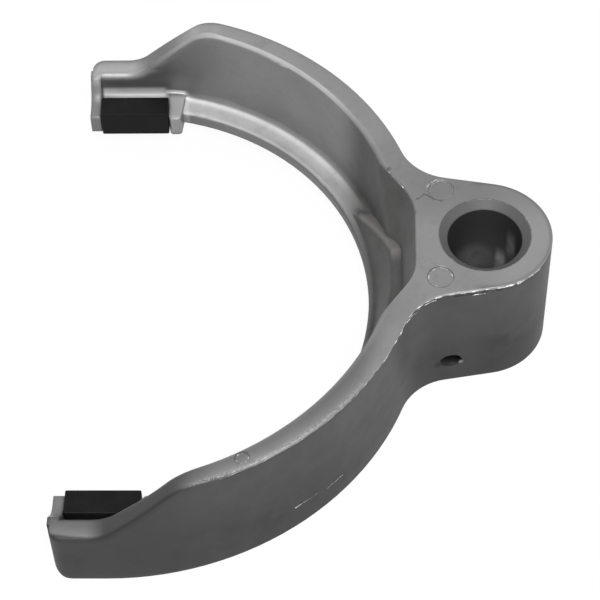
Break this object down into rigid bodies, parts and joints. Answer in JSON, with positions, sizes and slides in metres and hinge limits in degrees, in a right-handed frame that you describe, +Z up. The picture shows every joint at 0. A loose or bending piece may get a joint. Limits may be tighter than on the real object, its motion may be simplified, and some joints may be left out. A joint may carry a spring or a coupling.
{
  "type": "transmission shift fork",
  "caption": "Die-cast aluminium gearbox shift fork with a bored rail boss, a wide C of two ribbed arms with lowered tips and a black wear pad clipped inside each tip.",
  "frame": {"origin": "axis of the shift-rail bore in the plane of the flat underside", "axes": "+Z up the rail bore, the arms reach out towards -X, +Y across the arms towards the left one"},
  "size_m": [0.1193, 0.1506, 0.0358],
  "materials": {
    "casting": "satin",
    "pad": "matte"
  },
  "bodies": {
    "root": {"fork_casting": "casting", "wear_pad_left": "pad", "wear_pad_right": "pad"}
  },
  "joints": []
}
